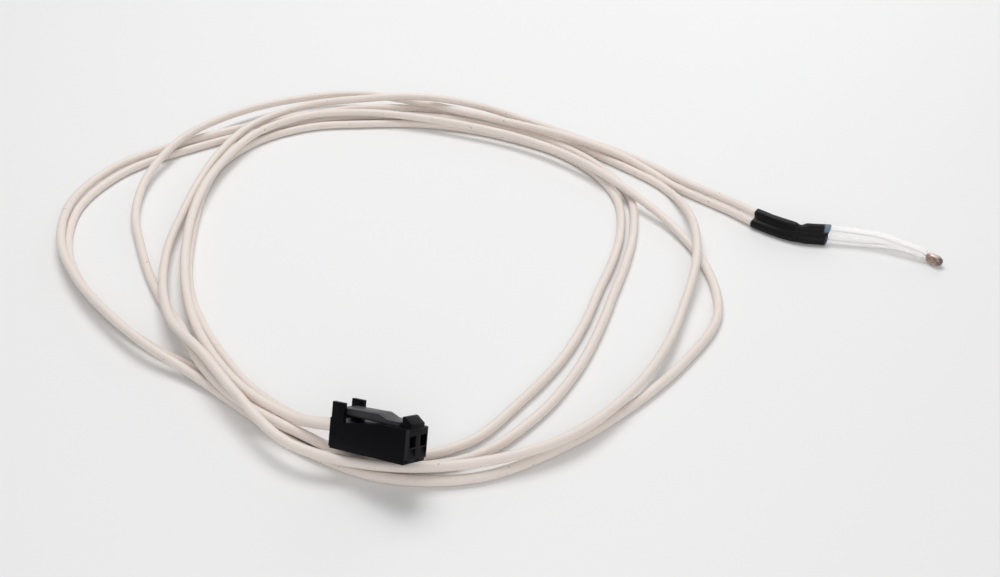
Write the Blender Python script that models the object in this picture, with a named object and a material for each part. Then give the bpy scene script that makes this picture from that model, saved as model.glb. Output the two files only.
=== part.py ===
# Glass bead temperature sensor on two long insulated wires, with a two-way latching plug.
# The bead's own assembly lies along +X at the origin, and its wires lie in a loose coil on the table.
import math

import bmesh
import bpy
from mathutils import Euler, Matrix, Vector

for old in list(bpy.data.objects):
    bpy.data.objects.remove(old, do_unlink=True)

mm = 0.001

# Clearances
fitGap = 0.1 * mm          # between pieces that sit inside one another in the sensor head
faceGap = 0.3 * mm         # between a wire's end and the piece that it meets

# Glass bead and its chip
beadDiameter = 2.05 * mm
beadLength = 3.4 * mm
beadBoreDiameter = 1.3 * mm
beadBoreDepth = 2.3 * mm
beadRim = 0.12 * mm        # glass left round the bore at the bead's rear end
beadCentre = Vector((15.95, 0.8, 1.04)) * mm
beadYaw = math.radians(-23)
chipSize = 0.5 * mm
chipThickness = 0.32 * mm
chipRoll = math.radians(35)
leadDiameter = 0.28 * mm

# Sleeves over the bead's leads: where each runs, and how far it stops short of the bead
sleeveDiameter = 1.4 * mm
sleeveBore = 0.8 * mm
sleeveRootDepth = 4.0 * mm  # how far a sleeve reaches into the shrink tube
upperSleeve = [(1.7, 1.25, 2.35), (6.05, 1.75, 2.3), (10.5, 1.45, 1.9), (13.4, 1.3, 1.6)]
lowerSleeve = [(2.2, 0.8, 0.8), (8.0, 2.6, 0.75), (12.25, 2.7, 0.75)]
upperSleeveShort = 0.35 * mm
lowerSleeveShort = 2.3 * mm

# Insulated lead wires and the splices
wireDiameter = 1.6 * mm
wireRootDepth = 3.5 * mm    # how far a wire reaches into the shrink tube
conductorDiameter = 0.5 * mm
conductorLength = 2.6 * mm
spliceDiameter = 1.15 * mm
spliceLength = 3.4 * mm
spliceLap = 1.3 * mm        # how far a conductor or a lead reaches into its splice

# Shrink tube over both splices: two lobes side by side, rolled up on one edge
shrinkWall = 0.13 * mm
shrinkRoll = math.radians(55)
shrinkCrease = 0.25 * mm    # depth of the valley between the lobes
shrinkRoute = [(-17.2, -0.4), (-13.0, -1.5), (-8.7, -2.0), (-6.0, -1.3), (-3.2, -0.4)]
lobeOverlap = 0.05 * mm     # how far the two lobes run into each other
lobeRadius = wireDiameter / 2 + fitGap
lobeSpacing = 2 * lobeRadius - lobeOverlap
shrinkHeight = lobeRadius + shrinkWall + lobeSpacing / 2 * math.sin(shrinkRoll)

# Plug housing, measured along its own axes from the rear, the near side and the bottom
plugLength = 14.2 * mm
plugWidth = 5.08 * mm
plugPitch = plugWidth / 2
plugEdge = 0.12 * mm
bodyHeight = 4.1 * mm       # at the rear, from where the top rises to the nose
bodyLevel = 3.0 * mm        # where the rise begins
noseHeight = 5.05 * mm
noseStart = 9.6 * mm
frontWall = 0.8 * mm
frontStep = 0.5 * mm        # how far the front face stands out over the bottom
frontLift = 0.65 * mm       # height of the front face's lower edge
skirtLength = 0.35 * mm
skirtInset = 0.2 * mm
skirtHeight = 4.45 * mm

# Posts either side of the latch arm, and the arm with its catch
postLength = 2.2 * mm
postThickness = 0.7 * mm
postTop = 6.85 * mm
armRear = 1.3 * mm
armBottom = 4.95 * mm
armRearTop = 6.0 * mm
armHighStart = 8.05 * mm
armHighTop = 6.2 * mm
armDipStart = 9.55 * mm
armDipTop = 5.65 * mm
armSideGap = 0.3 * mm
catchRear = 12.3 * mm
catchFlat = 0.4 * mm
catchTop = 6.55 * mm
catchFront = 14.0 * mm
catchFrontTop = 5.65 * mm

# Contact cavities, and the pin holes, ramps and feet of the front face
cavitySize = 1.9 * mm
cavityHeight = 2.9 * mm     # centre of the cavities above the bottom
pinHoleWidth = 1.4 * mm
pinHoleBottom = 2.45 * mm
pinHoleTop = 4.05 * mm
rampDepth = 0.4 * mm
rampBottom = 0.95 * mm
rampTop = 2.2 * mm
footDrop = 0.3 * mm

# Where the plug lies: its lower near front corner, and how it is turned
plugCorner = Vector((-42.3, -92.4, 7.5)) * mm
plugTurn = Euler((math.radians(-29.5), math.radians(-12.5), math.radians(-5.6)))

# Crimp terminals in the cavities
terminalSize = 1.6 * mm
terminalBore = 1.0 * mm
terminalWall = 1.0 * mm    # solid rear of the box, ahead of the barrel
terminalLength = 7.0 * mm
terminalSetback = 1.1 * mm
barrelDiameter = 1.3 * mm
barrelLength = 3.0 * mm

# The coil: radius and height in millimetres of each wire's centre, every 20 degrees from the first
coilCentre = Vector((-76.6, -37.5, 0)) * mm
coilStart = 45
coilStep = 20
wireStep = coilStep * 2 / 3  # angle in degrees between the points of the wires' tubes
low = 0.82                 # a wire that lies on the table
firstTail = [(-22.0, 2.45, 2.15)]
secondTail = [(-22.1, 1.2, 0.9)]
firstTurns = [
    (61.7, 2.0), (56.6, 1.0), (55.2, 1.3), (52.7, 4.75), (52.8, 4.7), (55.1, 3.3),
    (48.1, 2.8), (42.0, 1.8), (40.0, 1.9), (40.4, 2.7), (43.0, 4.4), (46.1, 4.8),
    (56.6, 3.8), (60.3, 2.6), (61.8, 2.9), (58.4, 2.3), (56.0, 1.8), (57.2, 3.2),
    (57.9, low), (53.3, low), (53.0, low), (54.3, low), (55.9, low), (56.5, low),
    (60.7, low), (64.5, 1.8), (60.0, 2.4), (52.5, 2.8), (48.4, 2.8), (46.9, low),
    (53.8, low), (61.8, low), (61.4, low), (60.4, low), (61.9, low), (56.5, low),
    (49.0, 2.8), (46.6, 2.8), (45.6, 2.7), (46.3, 2.7), (50.2, 2.7), (52.1, 2.7),
    (45.8, 2.7), (39.8, 2.9), (36.7, 2.8), (36.6, 2.8), (39.3, 2.7), (44.4, 2.9),
    (51.6, 3.9),
]
secondTurns = [
    (60.35, low), (53.6, 2.75), (50.5, 2.8), (52.1, 2.7), (59.0, 2.7), (62.0, 2.2),
    (59.0, 3.0), (53.2, 1.6), (45.5, low), (41.7, low), (41.7, 2.7), (47.1, 2.8),
    (52.8, 2.6), (59.0, low), (53.6, low), (46.7, low), (43.5, low), (45.1, low),
    (49.6, low), (50.9, low), (50.7, low), (51.2, low), (52.2, low), (53.2, low),
    (57.2, low), (62.8, low), (59.0, low), (51.8, low), (46.8, low), (44.9, low),
    (51.6, low), (56.6, low), (49.2, low), (43.6, low), (40.8, low), (42.7, low),
    (46.9, low), (48.4, low), (47.5, low), (47.6, low), (48.4, low), (50.9, low),
    (47.3, low), (39.9, low), (36.4, low), (36.2, low), (37.8, low), (42.1, 1.0),
    (50.1, 2.7),
]
plugStraight = 1.5 * mm    # straight run of each wire behind the plug


def material(name, colour, roughness, metallic=0.0):
    made = bpy.data.materials.new(name)
    made.use_nodes = True
    shader = made.node_tree.nodes["Principled BSDF"]
    shader.inputs["Base Color"].default_value = (*colour, 1)
    shader.inputs["Roughness"].default_value = roughness
    shader.inputs["Metallic"].default_value = metallic
    made.diffuse_color = (*colour, 1)
    return made


def addObject(name, data, look):
    made = bpy.data.objects.new(name, data)
    data.materials.append(look)
    bpy.context.scene.collection.objects.link(made)
    return made


def meshFrom(form, name, sharpAngle=35):
    bmesh.ops.recalc_face_normals(form, faces=form.faces)
    mesh = bpy.data.meshes.new(name)
    form.to_mesh(mesh)
    form.free()
    mesh.shade_smooth()
    mesh.set_sharp_from_angle(angle=math.radians(sharpAngle))
    return mesh


def catmull(before, start, end, after, share):
    """A value between start and end on a smooth curve through all four."""
    return 0.5 * (2 * start + (end - before) * share
                  + (2 * before - 5 * start + 4 * end - after) * share ** 2
                  + (3 * start - before - 3 * end + after) * share ** 3)


def smoothRoute(points, steps):
    """A finer route through the points, with a number of steps from each to the next."""
    first = 2 * points[0] - points[1]
    last = 2 * points[-1] - points[-2]
    padded = [first, *points, last]
    fine = []
    for index in range(len(points) - 1):
        for step in range(steps):
            fine.append(catmull(*padded[index:index + 4], step / steps))
    return fine + [points[-1].copy()]


def routeLength(route):
    return sum((end - start).length for start, end in zip(route, route[1:]))


def stretch(route, start, end):
    """The part of a route between two distances along it."""
    kept = []
    travelled = 0
    for first, second in zip(route, route[1:]):
        span = (second - first).length
        if travelled <= start < travelled + span:
            kept.append(first.lerp(second, (start - travelled) / span))
        elif start < travelled < end:
            kept.append(first)
        if travelled < end <= travelled + span:
            kept.append(first.lerp(second, (end - travelled) / span))
        travelled += span
    if end > travelled:
        kept.append(route[-1])
    return kept


def ringPoints(radius, sides):
    angles = [2 * math.pi * side / sides for side in range(sides)]
    return [(radius * math.cos(angle), radius * math.sin(angle)) for angle in angles]


def sweep(name, route, outline, bore=None):
    """Carries an outline of (across, up) points along a route, with a bore through it if one is given."""
    form = bmesh.new()
    layers = []
    for index, place in enumerate(route):
        ahead = route[min(index + 1, len(route) - 1)]
        behind = route[max(index - 1, 0)]
        along = (ahead - behind).normalized()
        across = Vector((0, 0, 1)).cross(along).normalized()
        up = along.cross(across)
        loops = [outline] if bore is None else [outline, bore]
        layers.append([[form.verts.new(place + across * a + up * b) for a, b in loop] for loop in loops])
    for back, front in zip(layers, layers[1:]):
        for backLoop, frontLoop in zip(back, front):
            count = len(backLoop)
            for side in range(count):
                after = (side + 1) % count
                form.faces.new((backLoop[side], backLoop[after], frontLoop[after], frontLoop[side]))
    for end in (layers[0], layers[-1]):
        if bore is None:
            form.faces.new(end[0])
            continue
        count = len(outline)
        for side in range(count):
            after = (side + 1) % count
            form.faces.new((end[0][side], end[0][after], end[1][after], end[1][side]))
    return meshFrom(form, name)


def revolve(name, profile, sides):
    """Turns an (along, radius) profile round the X axis. Points at radius 0 close the ends."""
    form = bmesh.new()
    rings = []
    for along, radius in profile:
        if radius == 0:
            rings.append([form.verts.new((along, 0, 0))])
        else:
            rings.append([form.verts.new((along, a, b)) for a, b in ringPoints(radius, sides)])
    for back, front in zip(rings, rings[1:]):
        for side in range(sides):
            after = (side + 1) % sides
            corners = [back[side % len(back)], back[after % len(back)],
                       front[after % len(front)], front[side % len(front)]]
            form.faces.new(list(dict.fromkeys(corners)))
    return meshFrom(form, name)


def block(form, along, across, up):
    """Adds a box from its two limits in each direction."""
    first, last = (Vector(corner) for corner in zip(along, across, up))
    place = Matrix.Translation((first + last) / 2) @ Matrix.Diagonal((*(last - first), 1))
    bmesh.ops.create_cube(form, size=1, matrix=place)


def around(middle, size):
    """The two limits of a size that is centred on a place."""
    return middle - size / 2, middle + size / 2


def slab(form, profile, near, far):
    """Adds a solid with an (x, z) side profile between two places across."""
    nearLoop = [form.verts.new((x, near, z)) for x, z in profile]
    farLoop = [form.verts.new((x, far, z)) for x, z in profile]
    count = len(profile)
    form.faces.new(nearLoop)
    form.faces.new(farLoop)
    for index in range(count):
        after = (index + 1) % count
        form.faces.new((nearLoop[index], nearLoop[after], farLoop[after], farLoop[index]))


def combine(target, form, operation):
    """Joins or cuts a piece with a helper shape that moves with it and isn't a piece of its own."""
    bmesh.ops.recalc_face_normals(form, faces=form.faces)
    mesh = bpy.data.meshes.new("helper shape")
    form.to_mesh(mesh)
    form.free()
    helper = bpy.data.objects.new("helper shape", mesh)
    helper.hide_render = True
    helper.display_type = "WIRE"
    helper.parent = target
    bpy.context.scene.collection.objects.link(helper)
    modifier = target.modifiers.new(operation.title(), "BOOLEAN")
    modifier.operation = operation
    modifier.object = helper
    modifier.solver = "EXACT"


glassLook = material("bead glass", (0.45, 0.33, 0.26), 0.12)
chipLook = material("chip ceramic", (0.10, 0.08, 0.07), 0.5)
leadLook = material("plated lead", (0.70, 0.68, 0.66), 0.3, 1.0)
sleeveLook = material("clear sleeve", (0.80, 0.79, 0.78), 0.35)
spliceLook = material("tinned splice", (0.66, 0.66, 0.68), 0.35, 1.0)
shrinkLook = material("black shrink tube", (0.012, 0.012, 0.014), 0.3)
wireLook = material("white wire jacket", (0.77, 0.69, 0.64), 0.5)
plugLook = material("black plug plastic", (0.016, 0.016, 0.018), 0.42)
terminalLook = material("plated terminal", (0.72, 0.70, 0.64), 0.3, 1.0)


def beadAxis():
    return Vector((math.cos(beadYaw), math.sin(beadYaw), 0))


def leadOffset(side):
    """From the bead's axis to a lead, across the chip. The upper sleeve's lead has side 1."""
    spread = chipThickness / 2 + fitGap + leadDiameter / 2
    across = Vector((0, 0, 1)).cross(beadAxis())
    return side * spread * (Vector((0, 0, 1)) * math.sin(chipRoll) - across * math.cos(chipRoll))


def shrinkCentre():
    corners = [Vector((x * mm, y * mm, shrinkHeight)) for x, y in shrinkRoute]
    return smoothRoute(corners, 4)


def lobeRoute(side):
    """The centre of one lobe of the shrink tube, from its wire end to its bead end."""
    centre = shrinkCentre()
    moved = []
    for index, place in enumerate(centre):
        along = (centre[min(index + 1, len(centre) - 1)] - centre[max(index - 1, 0)]).normalized()
        across = Vector((0, 0, 1)).cross(along)
        reach = side * lobeSpacing / 2
        moved.append(place + across * reach * math.cos(shrinkRoll)
                     + Vector((0, 0, reach * math.sin(shrinkRoll))))
    return moved


def leadRoute(side):
    """The centre of everything on one side of the head, from the shrink tube's end to the chip."""
    sleeve = upperSleeve if side > 0 else lowerSleeve
    lobes = lobeRoute(side)
    mouth = beadCentre - beadAxis() * beadLength / 2 + leadOffset(side)
    chipEnd = mouth + beadAxis() * (beadBoreDepth - fitGap)
    points = [lobes[-3], lobes[-1]] + [Vector(point) * mm for point in sleeve] + [mouth, chipEnd]
    return lobes[:-3] + smoothRoute(points, 4), (chipEnd - mouth).length


def addBead():
    radius = beadDiameter / 2
    half = beadLength / 2
    bore = beadBoreDiameter / 2
    rear = math.acos(min(1, (bore + beadRim) / radius))
    angles = [-rear + (math.pi / 2 + rear) * step / 14 for step in range(15)]
    rearScale = half / math.sin(rear)
    outer = []
    for angle in angles[:-1]:
        reach = rearScale if angle < 0 else half
        outer.append((reach * math.sin(angle), radius * math.cos(angle)))
    profile = [(-half + beadBoreDepth, 0), (-half + beadBoreDepth, bore), (-half, bore)]
    profile += outer + [(half, 0)]
    bead = addObject("glass_bead", revolve("glass_bead", profile, 28), glassLook)
    bead.location = beadCentre
    bead.rotation_euler = (0, 0, beadYaw)


def addChip():
    form = bmesh.new()
    block(form, around(0, chipSize), around(0, chipSize), around(0, chipThickness))
    chip = addObject("thermistor_chip", meshFrom(form, "thermistor_chip"), chipLook)
    depth = beadBoreDepth - fitGap - chipSize / 2
    chip.location = beadCentre + beadAxis() * (depth - beadLength / 2)
    chip.rotation_euler = (math.pi / 2 - chipRoll, 0, beadYaw)


def addHead(side, number):
    """The lead, sleeve, splice and bare conductor of one wire."""
    route, inBead = leadRoute(side)
    total = routeLength(route)
    shrinkLength = routeLength(lobeRoute(side))
    short = upperSleeveShort if side > 0 else lowerSleeveShort
    spliceStart = wireRootDepth + conductorLength - spliceLap
    spliceEnd = spliceStart + spliceLength

    conductor = stretch(route, wireRootDepth + faceGap, wireRootDepth + conductorLength)
    mesh = sweep(f"conductor_end_{number}", conductor, ringPoints(conductorDiameter / 2, 10))
    addObject(f"conductor_end_{number}", mesh, leadLook)

    splice = stretch(route, spliceStart, spliceEnd)
    bore = ringPoints(conductorDiameter / 2 + fitGap, 14)
    mesh = sweep(f"splice_barrel_{number}", splice, ringPoints(spliceDiameter / 2, 14), bore)
    addObject(f"splice_barrel_{number}", mesh, spliceLook)

    lead = stretch(route, spliceEnd - spliceLap, total)
    mesh = sweep(f"bead_lead_{number}", lead, ringPoints(leadDiameter / 2, 8))
    addObject(f"bead_lead_{number}", mesh, leadLook)

    sleeve = stretch(route, shrinkLength - sleeveRootDepth, total - inBead - short)
    bore = ringPoints(sleeveBore / 2, 12)
    mesh = sweep(f"sleeve_{number}", sleeve, ringPoints(sleeveDiameter / 2, 12), bore)
    addObject(f"sleeve_{number}", mesh, sleeveLook)


def lobedOutline(radius, crease):
    """Two round lobes side by side with a shallow valley between them, rolled up on edge."""
    points = []
    steps = 9
    for side in (1, -1):
        for step in range(steps + 1):
            angle = math.radians(-90 + 180 * step / steps)
            reach = lobeSpacing / 2 + radius * math.cos(angle)
            points.append((side * reach, side * radius * math.sin(angle)))
        points.append((0, side * (radius - crease)))
    turned = []
    for across, up in points:
        turned.append((across * math.cos(shrinkRoll) - up * math.sin(shrinkRoll),
                       across * math.sin(shrinkRoll) + up * math.cos(shrinkRoll)))
    return turned


def addShrink():
    outer = lobedOutline(lobeRadius + shrinkWall, shrinkCrease)
    inner = lobedOutline(lobeRadius, shrinkCrease)
    mesh = sweep("heat_shrink", shrinkCentre(), outer, inner)
    addObject("heat_shrink", mesh, shrinkLook)


def plugPlace():
    """From the plug's own axes to the part's."""
    front = Matrix.Translation((-plugLength, 0, 0))
    return Matrix.Translation(plugCorner) @ plugTurn.to_matrix().to_4x4() @ front


def cavityAcross(side):
    """Where a cavity's centre is across the plug. Side 1 is the far one."""
    return plugWidth / 2 + side * plugPitch / 2


def addPlug():
    form = bmesh.new()
    slab(form, [
        (skirtLength, 0), (plugLength - frontStep, 0), (plugLength - frontStep, frontLift),
        (plugLength, frontLift), (plugLength, noseHeight), (noseStart, noseHeight),
        (bodyLevel, bodyHeight), (skirtLength, bodyHeight),
    ], 0, plugWidth)
    housing = addObject("connector_housing", meshFrom(form, "connector_housing"), plugLook)

    form = bmesh.new()
    skirtAcross = around(plugWidth / 2, plugWidth - 2 * skirtInset)
    block(form, (0, skirtLength + plugEdge), skirtAcross, (skirtInset, skirtHeight))
    combine(housing, form, "UNION")

    form = bmesh.new()
    for near in (0, plugWidth - postThickness):
        block(form, (skirtLength, skirtLength + postLength), (near, near + postThickness),
              (bodyHeight / 2, postTop))
    combine(housing, form, "UNION")

    armInset = postThickness + armSideGap
    form = bmesh.new()
    slab(form, [
        (armRear, armBottom), (catchFront, noseHeight - plugEdge), (catchFront, catchFrontTop),
        (catchRear + catchFlat, catchTop), (catchRear, catchTop), (catchRear, armDipTop),
        (armDipStart, armDipTop), (armHighStart, armHighTop), (armRear, armRearTop),
    ], armInset, plugWidth - armInset)
    combine(housing, form, "UNION")

    form = bmesh.new()
    for side in (-1, 1):
        block(form, (plugLength - 2 * frontStep, plugLength - plugEdge),
              around(cavityAcross(side), pinHoleWidth), (frontLift - footDrop, 2 * frontLift))
    combine(housing, form, "UNION")
    openFront(housing)

    edges = housing.modifiers.new("Soft edges", "BEVEL")
    edges.width = plugEdge
    edges.segments = 1
    edges.limit_method = "ANGLE"
    edges.angle_limit = math.radians(50)
    housing.matrix_world = plugPlace()


def openFront(housing):
    """Cuts the contact cavities, the pin holes that lead into them and the ramps below."""
    inside = plugLength - frontWall
    cavities = bmesh.new()
    holes = bmesh.new()
    ramps = bmesh.new()
    for side in (-1, 1):
        middle = cavityAcross(side)
        block(cavities, (-mm, inside), around(middle, cavitySize), around(cavityHeight, cavitySize))
        block(holes, (inside - plugEdge, plugLength + mm), around(middle, pinHoleWidth),
              (pinHoleBottom, pinHoleTop))
        slope = [(plugLength - rampDepth, rampTop), (plugLength + rampDepth, rampTop),
                 (plugLength + rampDepth, rampBottom), (plugLength, rampBottom)]
        slab(ramps, slope, *around(middle, pinHoleWidth))
    for form in (cavities, holes, ramps):
        combine(housing, form, "DIFFERENCE")


def addTerminal(side, number):
    """A box contact with its crimp barrel behind it."""
    middle = cavityAcross(side)
    boxFront = plugLength - terminalSetback
    boxRear = boxFront - terminalLength
    form = bmesh.new()
    block(form, (boxRear, boxFront), around(middle, terminalSize), around(cavityHeight, terminalSize))
    terminal = addObject(f"terminal_{number}", meshFrom(form, f"terminal_{number}"), terminalLook)

    form = bmesh.new()
    turn = Matrix.Rotation(math.pi / 2, 4, "Y")
    place = Matrix.Translation((boxRear - barrelLength / 2 + plugEdge, middle, cavityHeight)) @ turn
    bmesh.ops.create_cone(form, cap_ends=True, segments=12, radius1=barrelDiameter / 2,
                          radius2=barrelDiameter / 2, depth=barrelLength, matrix=place)
    combine(terminal, form, "UNION")

    form = bmesh.new()
    block(form, (boxRear + terminalWall, boxFront + terminalWall), around(middle, terminalBore),
          around(cavityHeight, terminalBore))
    combine(terminal, form, "DIFFERENCE")
    terminal.matrix_world = plugPlace()


def coilPoint(turns, angle):
    """A point of the coil at an angle in degrees past the first station."""
    index = min(int(angle / coilStep), len(turns) - 2)
    share = angle / coilStep - index
    nearby = []
    for number in range(index - 1, index + 3):
        held = min(max(number, 0), len(turns) - 1)
        nearby.append(Vector(turns[held]))
    radius, height = catmull(*nearby, share)
    turned = math.radians(coilStart + angle)
    reach = Vector((radius * math.cos(turned), radius * math.sin(turned), max(height, low)))
    return coilCentre + reach * mm


def wireRoute(side, tail, turns):
    """A wire's centre from inside the shrink tube, round the coil and into its cavity of the plug."""
    root = stretch(lobeRoute(side), 0, wireRootDepth)
    root.reverse()
    count = round((len(turns) - 1) * coilStep / wireStep)
    coil = [coilPoint(turns, number * wireStep) for number in range(count + 1)]
    place = plugPlace()
    across = cavityAcross(-side)
    reach = plugLength - terminalSetback - terminalLength - barrelLength + plugEdge - faceGap
    inPlug = [place @ Vector((x, across, cavityHeight)) for x in (-plugStraight, 0, reach)]
    return root + [Vector(point) * mm for point in tail] + coil + inPlug


def addWire(name, route):
    curve = bpy.data.curves.new(name, "CURVE")
    curve.dimensions = "3D"
    curve.bevel_depth = wireDiameter / 2
    curve.bevel_resolution = 2
    curve.use_fill_caps = True
    spline = curve.splines.new("POLY")
    spline.points.add(len(route) - 1)
    for point, place in zip(spline.points, route):
        point.co = (*place, 1)
    addObject(name, curve, wireLook)


addBead()
addChip()
for side, number in ((1, 1), (-1, 2)):
    addHead(side, number)
addShrink()
addPlug()
for side, number in ((-1, 1), (1, 2)):
    addTerminal(side, number)
addWire("lead_wire_1", wireRoute(1, firstTail, firstTurns))
addWire("lead_wire_2", wireRoute(-1, secondTail, secondTurns))
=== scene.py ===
import math

import bmesh
import bpy
from mathutils import Euler, Matrix, Vector


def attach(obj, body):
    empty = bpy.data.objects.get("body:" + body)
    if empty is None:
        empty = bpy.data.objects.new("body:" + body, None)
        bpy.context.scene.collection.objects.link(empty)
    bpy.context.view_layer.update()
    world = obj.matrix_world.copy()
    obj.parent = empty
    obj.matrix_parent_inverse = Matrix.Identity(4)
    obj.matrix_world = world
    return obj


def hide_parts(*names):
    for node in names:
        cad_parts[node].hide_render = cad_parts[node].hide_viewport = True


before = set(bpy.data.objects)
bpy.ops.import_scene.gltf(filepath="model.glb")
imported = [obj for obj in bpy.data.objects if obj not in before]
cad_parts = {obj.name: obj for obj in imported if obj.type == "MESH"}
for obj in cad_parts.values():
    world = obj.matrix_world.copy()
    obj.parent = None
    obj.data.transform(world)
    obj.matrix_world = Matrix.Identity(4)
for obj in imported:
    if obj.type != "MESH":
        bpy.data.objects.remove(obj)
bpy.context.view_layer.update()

mm = 0.001
print("frame loaded:", len(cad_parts), "nodes")


# camera at the photo's viewing angle
cameraSettings = {
    "place": Vector((20.3, -195.7, 125.2)) * mm,
    "lookAt": Vector((-52.5, -39.5, 0)) * mm,
    "lens": 43.2,
    "sensor": 36,
}


def setCamera(settings):
    data = bpy.data.cameras.new("camera")
    data.lens = settings["lens"]
    data.sensor_width = settings["sensor"]
    data.clip_start = 0.005
    camera = bpy.data.objects.new("camera", data)
    bpy.context.scene.collection.objects.link(camera)
    camera.location = settings["place"]
    camera.rotation_euler = (settings["lookAt"] - settings["place"]).to_track_quat("-Z", "Y").to_euler()
    bpy.context.scene.camera = camera


# shader sums
class Signal:  # a socket that takes part in Python sums
    def __init__(self, finish, socket):
        self.finish = finish
        self.socket = socket

    def sum(self, operation, first, second):
        return self.finish.add("ShaderNodeMath", {"operation": operation}, {0: first, 1: second})

    def __add__(self, other):
        return self.sum("ADD", self, other)

    def __radd__(self, other):
        return self.sum("ADD", other, self)

    def __sub__(self, other):
        return self.sum("SUBTRACT", self, other)

    def __rsub__(self, other):
        return self.sum("SUBTRACT", other, self)

    def __mul__(self, other):
        return self.sum("MULTIPLY", self, other)


class Finish:  # one material, with what is the same all over it set on the shader itself
    def __init__(self, name, **fixed):
        self.material = bpy.data.materials.new(name)
        self.material.use_nodes = True
        self.tree = self.material.node_tree
        self.shader = self.tree.nodes["Principled BSDF"]
        for socket, value in fixed.items():
            self.shader.inputs[socket.replace("_", " ")].default_value = value

    def add(self, kind, settings, values, output=0):
        node = self.tree.nodes.new(kind)
        for key, setting in settings.items():
            setattr(node, key, setting)
        for key, value in values.items():
            if isinstance(value, Signal):
                self.tree.links.new(value.socket, node.inputs[key])
            else:
                node.inputs[key].default_value = value
        return Signal(self, node.outputs[output])

    def feed(self, socket, signal):
        self.tree.links.new(signal.socket, self.shader.inputs[socket])

    def place(self):
        return self.add("ShaderNodeTexCoord", {}, {}, "Object")

    def facing(self):
        return self.add("ShaderNodeNewGeometry", {}, {}, "Normal")

    def strip(self):  # millimetres along a tube, turns round it
        return self.add("ShaderNodeTexCoord", {}, {}, "UV")

    def scaled(self, vector, scale):
        return self.add("ShaderNodeMapping", {}, {"Vector": vector, "Scale": scale})

    def local(self, centre, turn, size):  # object coordinates as seen by a turned and scaled piece
        return self.add("ShaderNodeMapping", {"vector_type": "TEXTURE"},
                        {"Vector": self.place(), "Location": centre, "Rotation": turn, "Scale": size})

    def split(self, vector, axis):
        return self.add("ShaderNodeSeparateXYZ", {}, {"Vector": vector}, axis)

    def noise(self, vector, scale, detail=2.0, roughness=0.5):
        return self.add("ShaderNodeTexNoise", {}, {"Vector": vector, "Scale": scale, "Detail": detail,
                                                   "Roughness": roughness})

    def between(self, signal, low, high):  # 0 below low, 1 above high, smooth between
        return self.add("ShaderNodeMapRange", {"interpolation_type": "SMOOTHSTEP"},
                        {"Value": signal, "From Min": low, "From Max": high})

    def mix(self, share, first, second):
        colours = {6: first if isinstance(first, Signal) else (*first, 1),
                   7: second if isinstance(second, Signal) else (*second, 1)}
        return self.add("ShaderNodeMix", {"data_type": "RGBA"}, {0: share, **colours}, 2)

    def bump(self, height, distance):
        return self.add("ShaderNodeBump", {}, {"Height": height, "Distance": distance})


# routes through chosen points
def catmull(before, start, end, after, share):
    return 0.5 * (2 * start + (end - before) * share
                  + (2 * before - 5 * start + 4 * end - after) * share ** 2
                  + (3 * start - before - 3 * end + after) * share ** 3)


def smoothRoute(points, steps):
    first = 2 * points[0] - points[1]
    last = 2 * points[-1] - points[-2]
    around = [first, *points, last]
    fine = []
    for index in range(len(points) - 1):
        for step in range(steps):
            fine.append(catmull(*around[index:index + 4], step / steps))
    return fine + [points[-1].copy()]


def finerRoute(points, spacing):  # rounds off a route whose points are unevenly spaced
    around = [2 * points[0] - points[1], *points, 2 * points[-1] - points[-2]]
    fine = []
    for index in range(len(points) - 1):
        before, start, end, after = around[index:index + 4]
        knots = [0]
        for first, second in ((before, start), (start, end), (end, after)):
            knots.append(knots[-1] + max((second - first).length, 1e-6) ** 0.5)
        steps = max(1, round((end - start).length / spacing))
        for step in range(steps):
            place = knots[1] + (knots[2] - knots[1]) * step / steps
            a = [one.lerp(two, (place - low) / (high - low)) for one, two, low, high in
                 zip((before, start, end), (start, end, after), knots, knots[1:])]
            b = [a[n].lerp(a[n + 1], (place - knots[n]) / (knots[n + 2] - knots[n])) for n in (0, 1)]
            fine.append(b[0].lerp(b[1], (place - knots[1]) / (knots[2] - knots[1])))
    return fine + [points[-1].copy()]


def routeLength(route):
    return sum((end - start).length for start, end in zip(route, route[1:]))


def stretch(route, start, end):
    kept = []
    travelled = 0
    for first, second in zip(route, route[1:]):
        span = (second - first).length
        if travelled <= start < travelled + span:
            kept.append(first.lerp(second, (start - travelled) / span))
        elif start < travelled < end:
            kept.append(first)
        if travelled < end <= travelled + span:
            kept.append(first.lerp(second, (end - travelled) / span))
        travelled += span
    if end > travelled:
        kept.append(route[-1])
    return kept


# the sensor head's layout, as the frame has it
head = {
    "beadDiameter": 2.05 * mm,
    "beadLength": 3.4 * mm,
    "beadCentre": Vector((15.95, 0.8, 1.04)) * mm,
    "beadYaw": math.radians(-23),
    "beadBoreDepth": 2.3 * mm,
    "chipThickness": 0.32 * mm,
    "chipRoll": math.radians(35),
    "leadDiameter": 0.28 * mm,
    "fitGap": 0.1 * mm,
    "sleeveDiameter": 1.4 * mm,
    "sleeveBore": 0.8 * mm,
    "sleeveRootDepth": 4.0 * mm,
    "upperSleeve": [(1.7, 1.25, 2.35), (6.05, 1.75, 2.3), (10.5, 1.45, 1.9), (13.4, 1.3, 1.6)],
    "lowerSleeve": [(2.2, 0.8, 0.8), (8.0, 2.6, 0.75), (12.25, 2.7, 0.75)],
    "leadSteps": 8,
    "upperSleeveShort": 0.35 * mm,
    "lowerSleeveShort": 2.3 * mm,
    "wireRootDepth": 3.5 * mm,
    "spliceEnd": 8.2 * mm,
    "spliceLap": 1.3 * mm,
    "shrinkWall": 0.13 * mm,
    "shrinkRoll": math.radians(55),
    "shrinkSteps": 4,
    "shrinkRoute": [(-17.2, -0.4), (-13.0, -1.5), (-8.7, -2.0), (-6.0, -1.3), (-3.2, -0.4)],
    "lobeRadius": 0.9 * mm,
    "lobeSpacing": 1.75 * mm,
}
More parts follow.
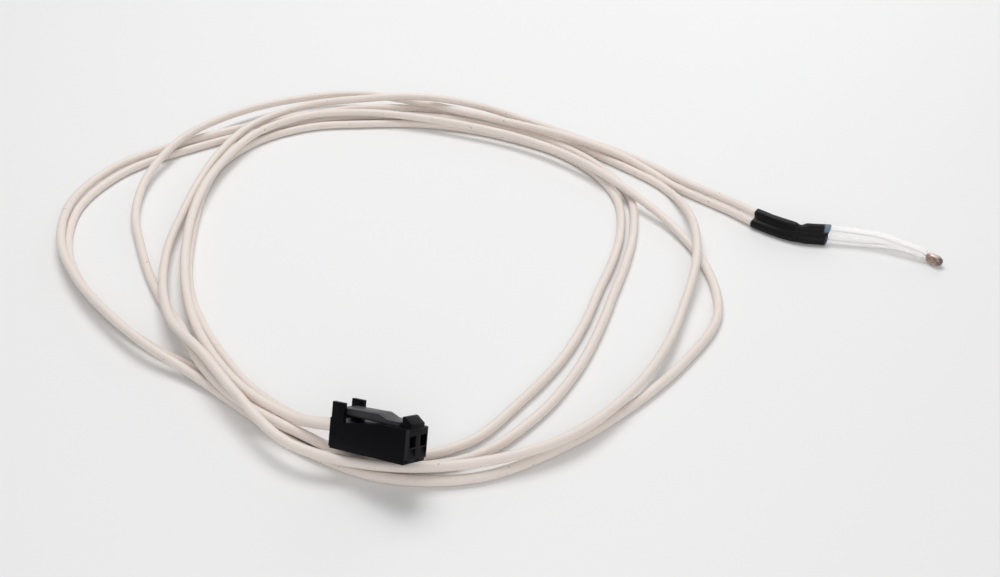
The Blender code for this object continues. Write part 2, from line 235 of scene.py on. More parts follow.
head["shrinkHeight"] = (head["lobeRadius"] + head["shrinkWall"]
                        + head["lobeSpacing"] / 2 * math.sin(head["shrinkRoll"]))


def beadAxis():
    return Vector((math.cos(head["beadYaw"]), math.sin(head["beadYaw"]), 0))


def leadOffset(side):  # from the bead's axis to a lead; side 1 is the upper sleeve's
    spread = head["chipThickness"] / 2 + head["fitGap"] + head["leadDiameter"] / 2
    up = Vector((0, 0, 1))
    across = up.cross(beadAxis())
    return side * spread * (up * math.sin(head["chipRoll"]) - across * math.cos(head["chipRoll"]))


def shrinkCentre(steps=head["shrinkSteps"]):
    corners = [Vector((x * mm, y * mm, head["shrinkHeight"])) for x, y in head["shrinkRoute"]]
    return smoothRoute(corners, steps)


def lobeRoute(side):
    centre = shrinkCentre()
    reach = side * head["lobeSpacing"] / 2
    moved = []
    for index, place in enumerate(centre):
        along = (centre[min(index + 1, len(centre) - 1)] - centre[max(index - 1, 0)]).normalized()
        across = Vector((0, 0, 1)).cross(along)
        moved.append(place + across * reach * math.cos(head["shrinkRoll"])
                     + Vector((0, 0, reach * math.sin(head["shrinkRoll"]))))
    return moved


def leadRoute(side):  # everything on one side of the head, from the shrink tube's wire end to the chip
    sleeve = head["upperSleeve"] if side > 0 else head["lowerSleeve"]
    lobes = lobeRoute(side)
    mouth = head["beadCentre"] - beadAxis() * head["beadLength"] / 2 + leadOffset(side)
    chipEnd = mouth + beadAxis() * (head["beadBoreDepth"] - head["fitGap"])
    points = [lobes[-3], lobes[-1]] + [Vector(point) * mm for point in sleeve] + [mouth, chipEnd]
    return lobes[:-3] + smoothRoute(points, head["leadSteps"]), (chipEnd - mouth).length


# tubes: a ring of edges extruded along a route, with each ring's outline from a function
def frames(route):
    for index, place in enumerate(route):
        ahead = route[min(index + 1, len(route) - 1)]
        behind = route[max(index - 1, 0)]
        along = (ahead - behind).normalized()
        across = Vector((0, 0, 1)).cross(along).normalized()
        yield place, along, across, along.cross(across)


def tube(route, sides, outline, capped=True):
    form = bmesh.new()
    turn = form.verts.layers.float.new("turn")
    gone = form.verts.layers.float.new("gone")
    ring = bmesh.ops.create_circle(form, segments=sides, radius=1)["verts"]
    for vert in ring:
        vert[turn] = math.atan2(vert.co.y, vert.co.x) % (2 * math.pi)
    edges = list(form.edges)
    total = routeLength(route)
    travelled = 0
    last = route[0]
    for index, (place, along, across, up) in enumerate(frames(route)):
        travelled += (place - last).length
        last = place
        if index:
            grown = bmesh.ops.extrude_edge_only(form, edges=edges)["geom"]
            ring = [item for item in grown if isinstance(item, bmesh.types.BMVert)]
            fresh = set(ring)
            edges = [item for item in grown if isinstance(item, bmesh.types.BMEdge)
                     and item.verts[0] in fresh and item.verts[1] in fresh]
        for vert in ring:
            a, b, c = outline(travelled / total, vert[turn])
            vert.co = place + across * a + up * b + along * c
            vert[gone] = travelled
        if index in (0, len(route) - 1) and capped:
            bmesh.ops.edgeloop_fill(form, edges=edges)
    bmesh.ops.recalc_face_normals(form, faces=form.faces)
    strip = form.loops.layers.uv.new("strip")
    for face in form.faces:
        turns = [loop.vert[turn] / (2 * math.pi) for loop in face.loops]
        wraps = max(turns) - min(turns) > 0.5 and len(turns) == 4  # a face across the seam
        for loop, value in zip(face.loops, turns):
            loop[strip].uv = (loop.vert[gone] / mm, value + 1 if wraps and value < 0.5 else value)
    return form


def roundOutline(radius):
    return lambda share, turn: (radius * math.cos(turn), radius * math.sin(turn), 0)


def addPiece(name, form, finish, node=None, sharp=None):
    mesh = bpy.data.meshes.new(name)
    form.to_mesh(mesh)
    form.free()
    mesh.shade_smooth()
    if sharp is not None:
        mesh.set_sharp_from_angle(angle=math.radians(sharp))
    mesh.materials.append(finish.material)
    piece = bpy.data.objects.new(name, mesh)
    bpy.context.scene.collection.objects.link(piece)
    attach(piece, "root")
    if node is not None:
        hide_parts(node)
    return piece


# plug, measured along its own axes from the rear, the near side and the bottom
plug = {
    "length": 14.2 * mm,
    "width": 5.08 * mm,
    "pitch": 2.54 * mm,
    "edge": 0.12 * mm,
    "bodyHeight": 4.1 * mm,
    "bodyLevel": 3.0 * mm,
    "noseHeight": 5.05 * mm,
    "noseStart": 9.6 * mm,
    "frontWall": 0.8 * mm,
    "frontStep": 0.5 * mm,
    "frontLift": 0.65 * mm,
    "frontCorner": 0.5 * mm,
    "skirtLength": 0.35 * mm,
    "skirtInset": 0.2 * mm,
    "skirtHeight": 4.45 * mm,
    "postLength": 2.2 * mm,
    "postThickness": 0.7 * mm,
    "postTop": 6.85 * mm,
    "armRear": 1.3 * mm,
    "armBottom": 4.95 * mm,
    "armRearTop": 6.0 * mm,
    "armHighStart": 8.05 * mm,
    "armHighTop": 6.2 * mm,
    "armDipStart": 9.55 * mm,
    "armDipTop": 5.65 * mm,
    "armSideGap": 0.3 * mm,
    "catchRear": 12.3 * mm,
    "catchFlat": 0.4 * mm,
    "catchTop": 6.55 * mm,
    "catchFront": 14.0 * mm,
    "catchFrontTop": 5.65 * mm,
    "cavitySize": 1.9 * mm,
    "cavityHeight": 2.9 * mm,
    "pinHoleWidth": 1.4 * mm,
    "pinHoleBottom": 2.45 * mm,
    "pinHoleTop": 4.05 * mm,
    "rampDepth": 0.4 * mm,
    "rampBottom": 0.95 * mm,
    "rampTop": 2.2 * mm,
    "footDrop": 0.3 * mm,
    "corner": Vector((-42.3, -92.4, 7.5)) * mm,
    "turn": Euler((math.radians(-29.5), math.radians(-12.5), math.radians(-5.6))),
    "contactReach": 2.92 * mm,
}


def plugPlace():
    front = Matrix.Translation((-plug["length"], 0, 0))
    return Matrix.Translation(plug["corner"]) @ plug["turn"].to_matrix().to_4x4() @ front


def cavityAcross(side):
    return plug["width"] / 2 + side * plug["pitch"] / 2


# lead wires: radius and height in millimetres round the coil's centre, every 20 degrees
wires = {
    "diameter": 1.6 * mm,
    "coilCentre": Vector((-76.6, -37.5, 0)) * mm,
    "coilStart": 45,
    "coilStep": 20,
    "finePart": 2 / 3,
    "plugStraight": 1.5 * mm,
    "sides": 20,
    "spacing": 2.4 * mm,
    "lift": 0.01 * mm,
}
low = 0.82  # a wire that lies on the table
firstTail = [(-22.0, 2.45, 2.15)]
secondTail = [(-22.1, 1.2, 0.9)]
firstTurns = [
    (61.7, 2.0), (56.6, 1.0), (55.2, 1.3), (52.7, 4.75), (52.8, 4.7), (55.1, 3.3),
    (48.1, 2.8), (42.0, 1.8), (40.0, 1.9), (40.4, 2.7), (43.0, 4.4), (46.1, 4.8),
    (56.6, 3.8), (60.3, 2.6), (61.8, 2.9), (58.4, 2.3), (56.0, 1.8), (57.2, 3.2),
    (57.9, low), (53.3, low), (53.0, low), (54.3, low), (55.9, low), (56.5, low),
    (60.7, low), (64.5, 1.8), (60.0, 2.4), (52.5, 2.8), (48.4, 2.8), (46.9, low),
    (53.8, low), (61.8, low), (61.4, low), (60.4, low), (61.9, low), (56.5, low),
    (49.0, 2.8), (46.6, 2.8), (45.6, 2.7), (46.3, 2.7), (50.2, 2.7), (52.1, 2.7),
    (45.8, 2.7), (39.8, 2.9), (36.7, 2.8), (36.6, 2.8), (39.3, 2.7), (44.4, 2.9),
    (51.6, 3.9),
]
secondTurns = [
    (60.35, low), (53.6, 2.75), (50.5, 2.8), (52.1, 2.7), (59.0, 2.7), (62.0, 2.2),
    (59.0, 3.0), (53.2, 1.6), (45.5, low), (41.7, low), (41.7, 2.7), (47.1, 2.8),
    (52.8, 2.6), (59.0, low), (53.6, low), (46.7, low), (43.5, low), (45.1, low),
    (49.6, low), (50.9, low), (50.7, low), (51.2, low), (52.2, low), (53.2, low),
    (57.2, low), (62.8, low), (59.0, low), (51.8, low), (46.8, low), (44.9, low),
    (51.6, low), (56.6, low), (49.2, low), (43.6, low), (40.8, low), (42.7, low),
    (46.9, low), (48.4, low), (47.5, low), (47.6, low), (48.4, low), (50.9, low),
    (47.3, low), (39.9, low), (36.4, low), (36.2, low), (37.8, low), (42.1, 1.0),
    (50.1, 2.7),
]


def coilPoint(turns, angle):
    index = min(int(angle / wires["coilStep"]), len(turns) - 2)
    share = angle / wires["coilStep"] - index
    around = [Vector(turns[min(max(number, 0), len(turns) - 1)]) for number in range(index - 1, index + 3)]
    radius, height = catmull(*around, share)
    turned = math.radians(wires["coilStart"] + angle)
    reach = Vector((radius * math.cos(turned), radius * math.sin(turned), max(height, low)))
    return wires["coilCentre"] + reach * mm


def wireRoute(side, tail, turns):
    root = stretch(lobeRoute(side), 0, head["wireRootDepth"])
    root.reverse()
    step = wires["coilStep"] * wires["finePart"]
    count = round((len(turns) - 1) / wires["finePart"])
    coil = [coilPoint(turns, number * step) for number in range(count + 1)]
    place = plugPlace()
    across = cavityAcross(-side)
    stops = (-wires["plugStraight"], 0, plug["contactReach"])
    inPlug = [place @ Vector((x, across, plug["cavityHeight"])) for x in stops]
    return root + [Vector(point) * mm for point in tail] + coil + inPlug


def jacketFinish():
    finish = Finish("white wire jacket", Roughness=0.45, Subsurface_Weight=0.08, Subsurface_Scale=0.0006)
    place = finish.place()
    strip = finish.strip()
    tone = finish.noise(place, 90, 2)
    streaks = finish.noise(finish.scaled(strip, (0.25, 9, 1)), 1, 3)
    dirt = finish.noise(place, 700, 4, 0.7)
    specks = finish.between(finish.noise(place, 1500, 2), 0.70, 0.76) * finish.between(tone, 0.45, 0.6)
    colour = finish.mix(tone, (0.86, 0.785, 0.735), (0.81, 0.725, 0.665))
    colour = finish.mix(streaks * 0.22, colour, (0.70, 0.62, 0.56))
    colour = finish.mix(finish.between(dirt, 0.58, 0.75) * 0.25, colour, (0.55, 0.47, 0.42))
    colour = finish.mix(specks * 0.7, colour, (0.16, 0.13, 0.11))
    finish.feed("Base Color", colour)
    finish.feed("Roughness", 0.38 + streaks * 0.2)
    height = streaks * 0.7 + dirt * 0.5
    finish.feed("Normal", finish.bump(height, 0.00003))
    return finish


def addWires():
    finish = jacketFinish()
    radius = wires["diameter"] / 2
    for number, side, tail, turns, length in ((1, 1, firstTail, firstTurns, 0.924),
                                              (2, -1, secondTail, secondTurns, 0.882)):
        route = finerRoute(wireRoute(side, tail, turns), wires["spacing"])
        for point in route:
            point.z = max(point.z, radius + wires["lift"])
        print("wire", number, "length", round(routeLength(route), 4), "points", len(route))
        piece = addPiece(f"wire_jacket_{number}", tube(route, wires["sides"], roundOutline(radius)), finish,
                         f"lead_wire_{number}", sharp=50)
        tuple(lobeRoute(side)[0])


# shrink tube over both splices
shrink = {  # places and widths along the tube are shares of its length, from the wire end
    "sides": 56,
    "steps": 14,
    "wall": 0.16 * mm,
    "inset": 0.01 * mm,
    "splices": [(0.22, 0.05), (0.80, 0.06)],
    "spliceDip": 0.03 * mm,
    "crease": 0.30 * mm,
    "creaseFill": (0.45, 0.5, 0.22),  # share filled in, place, width
    "wireEndCrease": (0.12 * mm, 0.08),  # extra depth, width
    "dent": 0.36 * mm,
    "dentPlace": (0.638, 0.058),
    "mouth": 0.07 * mm,
    "mouthStart": 0.66,
    "mouthSpan": 0.08,
    "wrinkles": [(0.50, 0.10), (0.585, 0.14), (0.645, 0.08)],
    "wrinkleWidth": 0.02,
    "wrinkleSlant": 0.03,
    "beadEnd": 0.14,
    "stagger": 0.42 * mm,
    "beadEndDip": (0.12 * mm, 0.5),  # depth, and width as a share of the lobes' reach
    "wireEnd": 0.1,
    "wireEndBulge": (0.2 * mm, 0.45),  # likewise
    "wireEndPull": 0.06 * mm,
}


def hump(value, centre, width):
    return math.exp(-((value - centre) / width) ** 2)


def lobed(turn, radius, reach, crease):  # two round lobes with a valley between them, in sixths of a turn
    sixths = turn / (2 * math.pi) * 6
    if sixths < 1 or sixths >= 5:
        angle = math.radians(90 * (sixths if sixths < 1 else sixths - 6))
        return reach + radius * math.cos(angle), radius * math.sin(angle)
    if 2 <= sixths < 4:
        angle = math.radians(180 + 90 * (sixths - 3))
        return -reach + radius * math.cos(angle), radius * math.sin(angle)
    top = sixths < 2
    share = sixths - 1 if top else 5 - sixths
    across = reach * (1 - 2 * share)
    depth = crease * (1 + math.cos(math.pi * across / reach)) / 2
    return across, (radius - depth) * (1 if top else -1)


def shrinkOutline(share, turn):
    roll = head["shrinkRoll"]
    radius = head["lobeRadius"] + head["shrinkWall"] - shrink["inset"]
    reach = head["lobeSpacing"] / 2
    splices = sum(hump(share, *splice) for splice in shrink["splices"])
    opened = min(1, max(0, (share - shrink["mouthStart"]) / shrink["mouthSpan"]))
    radius += shrink["mouth"] * opened - shrink["spliceDip"] * splices
    fill, fillPlace, fillWidth = shrink["creaseFill"]
    extra, extraWidth = shrink["wireEndCrease"]
    crease = (shrink["crease"] * (1 - fill * hump(share, fillPlace, fillWidth))
              + extra * hump(share, 0, extraWidth))
    a, b = lobed(turn, radius, reach, crease)
    narrow = shrink["dent"] * hump(share, *shrink["dentPlace"])
    a -= narrow * (max(a, 0) + 0.3 * min(a, 0)) / (reach + radius)  # mostly from the side of the upper lobe
    for place, depth in shrink["wrinkles"]:
        fold = hump(share, place + shrink["wrinkleSlant"] * math.sin(turn), shrink["wrinkleWidth"])
        b -= depth * mm * fold * (0.7 if math.sin(turn) > 0 else 0.2)  # deeper on top
    shift = 0
    late = (share - 1 + shrink["beadEnd"]) / shrink["beadEnd"]
    if late > 0:
        dip, width = shrink["beadEndDip"]
        shift = shrink["stagger"] * late * (a / (reach + radius)) - dip * late * hump(a, 0, reach * width)
    early = 1 - share / shrink["wireEnd"]
    if early > 0:
        bulge, width = shrink["wireEndBulge"]
        shift = bulge * early * hump(a, 0, reach * width) - shrink["wireEndPull"] * early
    return a * math.cos(roll) - b * math.sin(roll), a * math.sin(roll) + b * math.cos(roll), shift


def shrinkFinish():
    finish = Finish("black shrink tube", Specular_IOR_Level=0.17)
    place = finish.place()
    strip = finish.strip()
    along, turn = finish.split(strip, "X"), finish.split(strip, "Y")
    lines = finish.noise(finish.scaled(strip, (0.35, 26, 1)), 1, 4, 0.6)
    pores = finish.noise(place, 2600, 3, 0.6)
    smears = finish.noise(place, 300, 3)
    colour = finish.mix(smears, (0.0025, 0.0025, 0.0030), (0.0055, 0.0054, 0.0062))
    colour = finish.mix(finish.between(lines, 0.55, 0.75) * 0.5, colour, (0.017, 0.016, 0.017))
    ragged = along + smears * 0.6 - 0.3
    length = routeLength(shrinkCentre()) / mm
    # painted sheen: blue-grey at the upper lobe's end and violet at the lower lobe's end, as highlights on
    # the tube's thin mouth
    upperPaintedSheen = (finish.between(turn, 0.02, 0.07) * (1 - finish.between(turn, 0.19, 0.24))
             * finish.between(ragged, length - 1.15, length - 0.75))
    lowerPaintedSheen = (finish.between(turn, 0.27, 0.31) * (1 - finish.between(turn, 0.44, 0.48))
             * finish.between(ragged, length - 0.7, length - 0.35))
    # painted shade: a brown-dark tint in the valley between the lobes at the wire end
    valleyPaintedShade = (finish.between(turn, 0.19, 0.24) * (1 - finish.between(turn, 0.26, 0.31))
              * (1 - finish.between(ragged, 0.3, 0.9)))
    colour = finish.mix(upperPaintedSheen * 0.9, colour, (0.19, 0.25, 0.32))
    colour = finish.mix(lowerPaintedSheen * 0.7, colour, (0.085, 0.075, 0.16))
    colour = finish.mix(valleyPaintedShade * 0.7, colour, (0.075, 0.042, 0.034))
    finish.feed("Base Color", colour)
    finish.feed("Roughness", 0.30 + smears * 0.16 + lines * 0.08)
    finish.feed("Normal", finish.bump(lines * 0.6 + pores * 0.5, 0.00005))
    return finish


def addShrink():
    centre = shrinkCentre(shrink["steps"])
    form = tube(centre, shrink["sides"], shrinkOutline, capped=False)
    piece = addPiece("shrink_cover", form, shrinkFinish(), "heat_shrink")
    wall = piece.modifiers.new("Wall", "SOLIDIFY")
    wall.thickness = shrink["wall"]
    wall.offset = -1
    wall.use_even_offset = False
    smooth = piece.modifiers.new("Smooth", "SUBSURF")
    smooth.levels = smooth.render_levels = 1
    print("shrink tube done")


# sleeves, leads and bead
sleeves = {
    "sides": 28,
    "leadSides": 16,
}


def sleeveFinish():
    glow = {"Emission_Color": (1, 0.975, 0.955, 1), "Emission_Strength": 0.12}  # painted glow: a weak emission stands in for light scattered in the wall
    finish = Finish("clear sleeve", Alpha=0.40, IOR=1.4, Specular_IOR_Level=0.5, **glow)
    place = finish.place()
    strip = finish.strip()
    cloud = finish.noise(place, 500, 3)
    lines = finish.noise(finish.scaled(strip, (0.3, 20, 1)), 1, 3)
    colour = finish.mix(cloud * 0.6, (1.0, 0.99, 0.985), (0.97, 0.95, 0.94))
    finish.feed("Base Color", colour)
    finish.feed("Roughness", 0.22 + cloud * 0.14)
    finish.feed("Normal", finish.bump(lines * 0.5 + cloud * 0.3, 0.00003))
    return finish


def leadFinish(number, beadStart):
    finish = Finish(f"bead lead {number}", Metallic=1.0)
    strip = finish.strip()
    drawn = finish.noise(finish.scaled(strip, (0.5, 14, 1)), 1, 3)
    copper = finish.between(finish.split(strip, "X"), beadStart - 2.2, beadStart - 0.2)
    colour = finish.mix(drawn * 0.5, (0.34, 0.325, 0.32), (0.17, 0.165, 0.16))
    colour = finish.mix(copper, colour, (0.60, 0.40, 0.33))
    finish.feed("Base Color", colour)
    finish.feed("Roughness", 0.24 + drawn * 0.2)
    finish.feed("Normal", finish.bump(drawn, 0.00001))
    return finish


def addSleevesAndLeads():
    finish = sleeveFinish()
    for number, side in ((1, 1), (2, -1)):
        route, inBead = leadRoute(side)
        total = routeLength(route)
        shrinkLength = routeLength(lobeRoute(side))
        short = head["upperSleeveShort"] if side > 0 else head["lowerSleeveShort"]

        span = stretch(route, shrinkLength - head["sleeveRootDepth"], total - inBead - short)
        radius = head["sleeveDiameter"] / 2
        piece = addPiece(f"clear_sleeve_{number}", tube(span, sleeves["sides"], roundOutline(radius), False),
                         finish, f"sleeve_{number}")
        wall = piece.modifiers.new("Wall", "SOLIDIFY")
        wall.thickness = radius - head["sleeveBore"] / 2
        wall.offset = -1

        start = head["spliceEnd"] - head["spliceLap"]
        lead = stretch(route, start, total)
        form = tube(lead, sleeves["leadSides"], roundOutline(head["leadDiameter"] / 2))
        addPiece(f"lead_{number}", form, leadFinish(number, (total - inBead - start) / mm),
                 f"bead_lead_{number}", sharp=50)
    print("sleeves and leads done")


bead = {
    "steps": 40,
    "rings": 22,
    "fullness": 0.92,
    "neck": 0.84,
    "neckSpan": 0.14,
    "weld": 0.01 * mm,
}


def glassFinish():
    finish = Finish("bead glass", Transmission_Weight=0.3, IOR=1.5, Coat_Weight=1.0, Coat_Roughness=0.03)
    half, radius = head["beadLength"] / 2, head["beadDiameter"] / 2
    local = finish.local(head["beadCentre"], (0, 0, head["beadYaw"]), (half, radius, radius))
    along, across, up = (finish.split(local, axis) for axis in "XYZ")
    cloud = finish.noise(finish.place(), 1500, 3)
    drift = cloud * 0.3 - 0.15
    # painted highlight: a cream band along the upper side, where the bead faces up, stands in for the lamps'
    # reflection
    skyward = up + across * 0.35 + drift
    colour = finish.mix(finish.between(cloud, 0.35, 0.7), (0.24, 0.145, 0.11), (0.52, 0.37, 0.30))
    colour = finish.mix(finish.between(along + drift, 0.45, 0.75) * 0.8, colour, (0.09, 0.055, 0.045))
    paintedTopHighlight = finish.between(skyward, 0.50, 0.78) * (1 - finish.between(along, 0.35, 0.65) * 0.7)
    colour = finish.mix(paintedTopHighlight, colour, (0.84, 0.72, 0.63))
    colour = finish.mix(finish.between(0 - along + drift, 0.55, 0.85), colour, (0.76, 0.55, 0.49))
    # painted reflection: a cream rim along the bead's lower side
    colour = finish.mix(finish.between(0 - skyward, 0.55, 0.9), colour, (0.72, 0.60, 0.53))
    finish.feed("Base Color", colour)
    finish.feed("Roughness", 0.03 + cloud * 0.08)
    finish.feed("Normal", finish.bump(finish.noise(finish.place(), 1400, 2), 0.00002))
    return finish


def addBead():
    radius = head["beadDiameter"] / 2
    half = head["beadLength"] / 2
    form = bmesh.new()
    profile = []
    for step in range(bead["rings"] + 1):
        share = step / bead["rings"]
        angle = math.radians(180 * share)
        along = -half * math.cos(angle)
        wide = math.sin(angle) ** bead["fullness"]
        pinch = 1 - (1 - bead["neck"]) * hump(share, 0, bead["neckSpan"])
        profile.append(form.verts.new((along, radius * wide * pinch, 0)))
    for first, second in zip(profile, profile[1:]):
        form.edges.new((first, second))
    bmesh.ops.spin(form, geom=list(form.verts) + list(form.edges), cent=(0, 0, 0), axis=(1, 0, 0),
                   dvec=(0, 0, 0), angle=2 * math.pi, steps=bead["steps"], use_merge=True,
                   use_duplicate=False)
    bmesh.ops.remove_doubles(form, verts=form.verts, dist=bead["weld"])
    place = Matrix.Translation(head["beadCentre"]) @ Matrix.Rotation(head["beadYaw"], 4, "Z")
    bmesh.ops.transform(form, matrix=place, verts=form.verts)
    bmesh.ops.recalc_face_normals(form, faces=form.faces)
    addPiece("bead_body", form, glassFinish(), "glass_bead")
    print("bead done")


# plug
def block(form, along, across, up):  # a box from its two limits in each direction
    first, last = (Vector(corner) for corner in zip(along, across, up))
    place = Matrix.Translation((first + last) / 2) @ Matrix.Diagonal((*(last - first), 1))
    bmesh.ops.create_cube(form, size=1, matrix=place)


def middled(middle, size):
    return middle - size / 2, middle + size / 2


def slab(form, profile, near, far):  # an (x, z) side profile extruded across
    face = form.faces.new([form.verts.new((x, near, z)) for x, z in profile])
    grown = bmesh.ops.extrude_face_region(form, geom=[face])["geom"]
    moved = [item for item in grown if isinstance(item, bmesh.types.BMVert)]
    bmesh.ops.translate(form, verts=moved, vec=(0, far - near, 0))


def loose(name, form):
    bmesh.ops.recalc_face_normals(form, faces=form.faces)
    mesh = bpy.data.meshes.new(name)
    form.to_mesh(mesh)
    form.free()
    thing = bpy.data.objects.new(name, mesh)
    bpy.context.scene.collection.objects.link(thing)
    return thing


def carve(form, steps, edge):  # joins and cuts a blank, rounds its edges and hands back one mesh
    things = [loose("blank", form)]
    for operation, shape in steps:
        things.append(loose("tool", shape))
        modifier = things[0].modifiers.new(operation.title(), "BOOLEAN")
        modifier.operation = operation
        modifier.object = things[-1]
        modifier.solver = "EXACT"
    rounding = things[0].modifiers.new("Rounding", "BEVEL")
    rounding.width = edge
    rounding.segments = 3
    rounding.limit_method = "ANGLE"
    rounding.angle_limit = math.radians(40)
    shaped = bmesh.new()
    shaped.from_object(things[0], bpy.context.evaluated_depsgraph_get())
    for thing in things:
        bpy.data.objects.remove(thing, do_unlink=True)
    return shaped


def plugBlank():
    length, width, step, lift = plug["length"], plug["width"], plug["frontStep"], plug["frontLift"]
    form = bmesh.new()
    slab(form, [
        (plug["skirtLength"], 0), (length - step, 0), (length - step, lift), (length, lift),
        (length, plug["noseHeight"]), (plug["noseStart"], plug["noseHeight"]),
        (plug["bodyLevel"], plug["bodyHeight"]), (plug["skirtLength"], plug["bodyHeight"]),
    ], 0, width)
    return form


def plugSteps():
    length, width, edge = plug["length"], plug["width"], plug["edge"]
    skirt = bmesh.new()
    block(skirt, (0, plug["skirtLength"] + edge), middled(width / 2, width - 2 * plug["skirtInset"]),
          (plug["skirtInset"], plug["skirtHeight"]))

    posts = bmesh.new()
    postAlong = (plug["skirtLength"], plug["skirtLength"] + plug["postLength"])
    postUp = (plug["bodyHeight"] / 2, plug["postTop"])
    for near in (0, width - plug["postThickness"]):
        block(posts, postAlong, (near, near + plug["postThickness"]), postUp)

    inset = plug["postThickness"] + plug["armSideGap"]
    catchPeak = plug["catchRear"] + plug["catchFlat"]
    arm = bmesh.new()
    slab(arm, [
        (plug["armRear"], plug["armBottom"]), (plug["catchFront"], plug["noseHeight"] - edge),
        (plug["catchFront"], plug["catchFrontTop"]), (catchPeak, plug["catchTop"]),
        (plug["catchRear"], plug["catchTop"]), (plug["catchRear"], plug["armDipTop"]),
        (plug["armDipStart"], plug["armDipTop"]), (plug["armHighStart"], plug["armHighTop"]),
        (plug["armRear"], plug["armRearTop"]),
    ], inset, width - inset)

    corners = bmesh.new()
    size = plug["frontCorner"]
    turned = Matrix.Rotation(math.radians(45), 4, "Z")
    square = turned @ Matrix.Diagonal((size, size, plug["noseHeight"] * 2, 1))
    for across in (0, width):
        place = Matrix.Translation((length, across, plug["noseHeight"] / 2))
        bmesh.ops.create_cube(corners, size=1, matrix=place @ square)

    feet, cavities, holes, ramps = (bmesh.new() for _ in range(4))
    inside = length - plug["frontWall"]
    for side in (-1, 1):
        hole = middled(cavityAcross(side), plug["pinHoleWidth"])
        block(feet, (length - 2 * plug["frontStep"], length - edge), hole,
              (plug["frontLift"] - plug["footDrop"], 2 * plug["frontLift"]))
        block(cavities, (-mm, inside), middled(cavityAcross(side), plug["cavitySize"]),
              middled(plug["cavityHeight"], plug["cavitySize"]))
        block(holes, (inside - edge, length + mm), hole, (plug["pinHoleBottom"], plug["pinHoleTop"]))
        depth = plug["rampDepth"]
        slab(ramps, [(length - depth, plug["rampTop"]), (length + depth, plug["rampTop"]),
                     (length + depth, plug["rampBottom"]), (length, plug["rampBottom"])], *hole)
    return [("UNION", skirt), ("UNION", posts), ("UNION", arm), ("UNION", feet), ("DIFFERENCE", corners),
            ("DIFFERENCE", cavities), ("DIFFERENCE", holes), ("DIFFERENCE", ramps)]


def plugFinish():
    finish = Finish("black plug plastic", Specular_IOR_Level=0.09)
    place = finish.place()
    local = finish.local(plug["corner"], tuple(plug["turn"]), (mm, mm, mm))  # in millimetres, from the front
    along, across, up = (finish.split(local, axis) for axis in "XYZ")
    grain = finish.noise(place, 3800, 2, 0.6)
    flow = finish.noise(place, 260, 4, 0.6)
    streaks = finish.noise(finish.scaled(local, (0.25, 5.0, 1.0)), 1, 4, 0.6)
    height = finish.split(finish.facing(), "Z")
    # painted light: the latch arm's top and near face lighter, more so where they face up, with streaks
    latchPaintedLight = (finish.between(up, 4.95, 5.3) * finish.between(along, -13.0, -12.0)
             * (1 - finish.between(along, -2.7, -2.0))
             * finish.between(across, 0.85, 0.95) * (1 - finish.between(across, 4.15, 4.25))
             * (finish.between(height, 0.1, 0.4) * 0.6 + finish.between(height, 0.6, 0.8) * 0.4))
    # painted light: the front face a little lighter than the sides
    front = finish.between(along, -0.16, -0.04)
    # painted highlight along the near front corner's edge
    corner = (finish.between(along, -0.45, -0.34) * (1 - finish.between(across, 0.3, 0.4))
              * finish.between(up, 0.6, 0.8))
    colour = finish.mix(flow, (0.0016, 0.0015, 0.0028), (0.0036, 0.0034, 0.0052))
    colour = finish.mix(latchPaintedLight * (0.45 + streaks * 0.9), colour, (0.080, 0.080, 0.084))
    colour = finish.mix(front * 0.9, colour, (0.006, 0.006, 0.007))
    colour = finish.mix(corner * 0.8, colour, (0.022, 0.022, 0.024))
    finish.feed("Base Color", colour)
    finish.feed("Roughness", 0.28 + flow * 0.16)
    finish.feed("Normal", finish.bump(grain * 0.7 + flow * 0.3, 0.00003))
    return finish


def addPlug():
    form = carve(plugBlank(), plugSteps(), plug["edge"])
    bmesh.ops.transform(form, matrix=plugPlace(), verts=form.verts)
    piece = addPiece("plug_shell", form, plugFinish(), "connector_housing", sharp=32)
    print("plug done")
    return piece


# finishes of the pieces that stay as the frame has them
def metalFinish(name, colour, roughness):
    finish = Finish(name, Metallic=1.0)
    place = finish.place()
    worn = finish.noise(place, 1200, 3)
    finish.feed("Base Color", finish.mix(worn, colour, tuple(part * 0.72 for part in colour)))
    finish.feed("Roughness", roughness + worn * 0.2)
    finish.feed("Normal", finish.bump(worn, 0.00002))
    return finish


def chipFinish():
    finish = Finish("chip ceramic", Roughness=0.5)
    grain = finish.noise(finish.place(), 9000, 3)
    finish.feed("Base Color", finish.mix(grain, (0.05, 0.04, 0.036), (0.13, 0.10, 0.09)))
    finish.feed("Normal", finish.bump(grain, 0.00001))
    return finish


def dressNodes():
    tinned = metalFinish("tinned conductor", (0.70, 0.67, 0.63), 0.28)
    barrel = metalFinish("tinned splice", (0.66, 0.66, 0.68), 0.3)
    contact = metalFinish("plated terminal", (0.72, 0.69, 0.62), 0.26)
    looks = {
        "thermistor_chip": chipFinish(),
        "conductor_end_1": tinned, "conductor_end_2": tinned,
        "splice_barrel_1": barrel, "splice_barrel_2": barrel,
        "terminal_1": contact, "terminal_2": contact,
    }
    for name, finish in looks.items():
        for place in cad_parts[name].material_slots:
            place.material = finish.material
    print("frame pieces dressed")


# table and light
studio = {
    "floor": (0.86, 0.86, 0.86),
    "floorSize": 6.0,
    "fade": (0.13, 0.55),
    "sky": 0.41,
    "lamps": [
        ("key", (-0.16, 0.12, 0.42), 0.26, 1.12),
        ("fill", (0.16, -0.36, 0.24), 0.30, 0.52),
        ("rim", (-0.05, 0.36, 0.16), 0.20, 0.16),
    ],
    "aim": Vector((-0.055, -0.035, 0.0)),
}


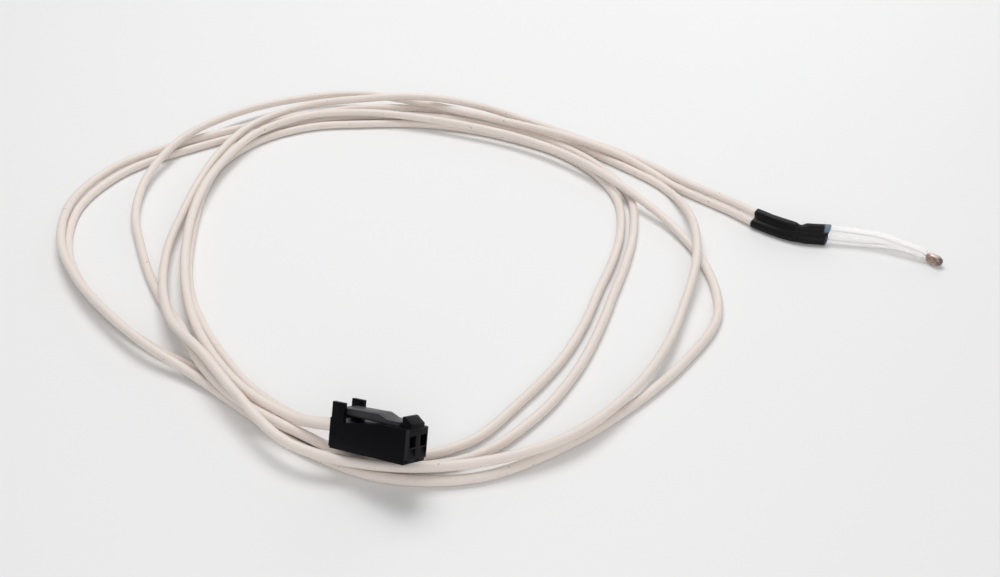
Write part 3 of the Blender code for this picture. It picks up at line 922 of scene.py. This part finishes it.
def floorFinish():  # plain white for the camera far from the part
    finish = Finish("table top", Roughness=0.6)
    finish.shader.inputs["Base Color"].default_value = (*studio["floor"], 1)
    middle = finish.local(studio["aim"], (0, 0, 0), (1, 1, 1))
    away = finish.add("ShaderNodeVectorMath", {"operation": "LENGTH"}, {0: middle}, "Value")
    seen = finish.add("ShaderNodeLightPath", {}, {}, "Is Camera Ray")
    plain = Signal(finish, finish.shader.outputs[0])
    glow = finish.add("ShaderNodeEmission", {}, {"Color": (1, 1, 1, 1)})
    share = finish.between(away, *studio["fade"]) * seen
    surface = finish.add("ShaderNodeMixShader", {}, {0: share, 1: plain, 2: glow})
    finish.tree.links.new(surface.socket, finish.tree.nodes["Material Output"].inputs["Surface"])
    return finish


def setStudio():
    form = bmesh.new()
    bmesh.ops.create_grid(form, x_segments=1, y_segments=1, size=studio["floorSize"] / 2)
    mesh = bpy.data.meshes.new("table")
    form.to_mesh(mesh)
    form.free()
    table = bpy.data.objects.new("table", mesh)
    bpy.context.scene.collection.objects.link(table)
    mesh.materials.append(floorFinish().material)

    world = bpy.data.worlds.new("studio")
    bpy.context.scene.world = world
    world.use_nodes = True
    nodes, links = world.node_tree.nodes, world.node_tree.links
    background = nodes["Background"]
    background.inputs["Color"].default_value = (1, 1, 1, 1)
    path = nodes.new("ShaderNodeLightPath")
    seen = nodes.new("ShaderNodeMath")
    seen.operation = "MAXIMUM"
    links.new(path.outputs["Is Camera Ray"], seen.inputs[0])
    links.new(path.outputs["Is Transmission Ray"], seen.inputs[1])
    strength = nodes.new("ShaderNodeMapRange")
    strength.inputs["To Min"].default_value = studio["sky"]
    strength.inputs["To Max"].default_value = 1
    links.new(seen.outputs[0], strength.inputs["Value"])
    links.new(strength.outputs["Result"], background.inputs["Strength"])

    for name, place, size, power in studio["lamps"]:
        light = bpy.data.lights.new(name, "AREA")
        light.size = size
        light.energy = power
        lamp = bpy.data.objects.new(name, light)
        lamp.location = place
        lamp.rotation_euler = (studio["aim"] - Vector(place)).to_track_quat("-Z", "Y").to_euler()
        bpy.context.scene.collection.objects.link(lamp)
    bpy.context.scene.view_settings.view_transform = "Standard"
    print("studio done")


setCamera(cameraSettings)
setStudio()
plugPiece = addPlug()
addWires()
addShrink()
addSleevesAndLeads()
addBead()
dressNodes()
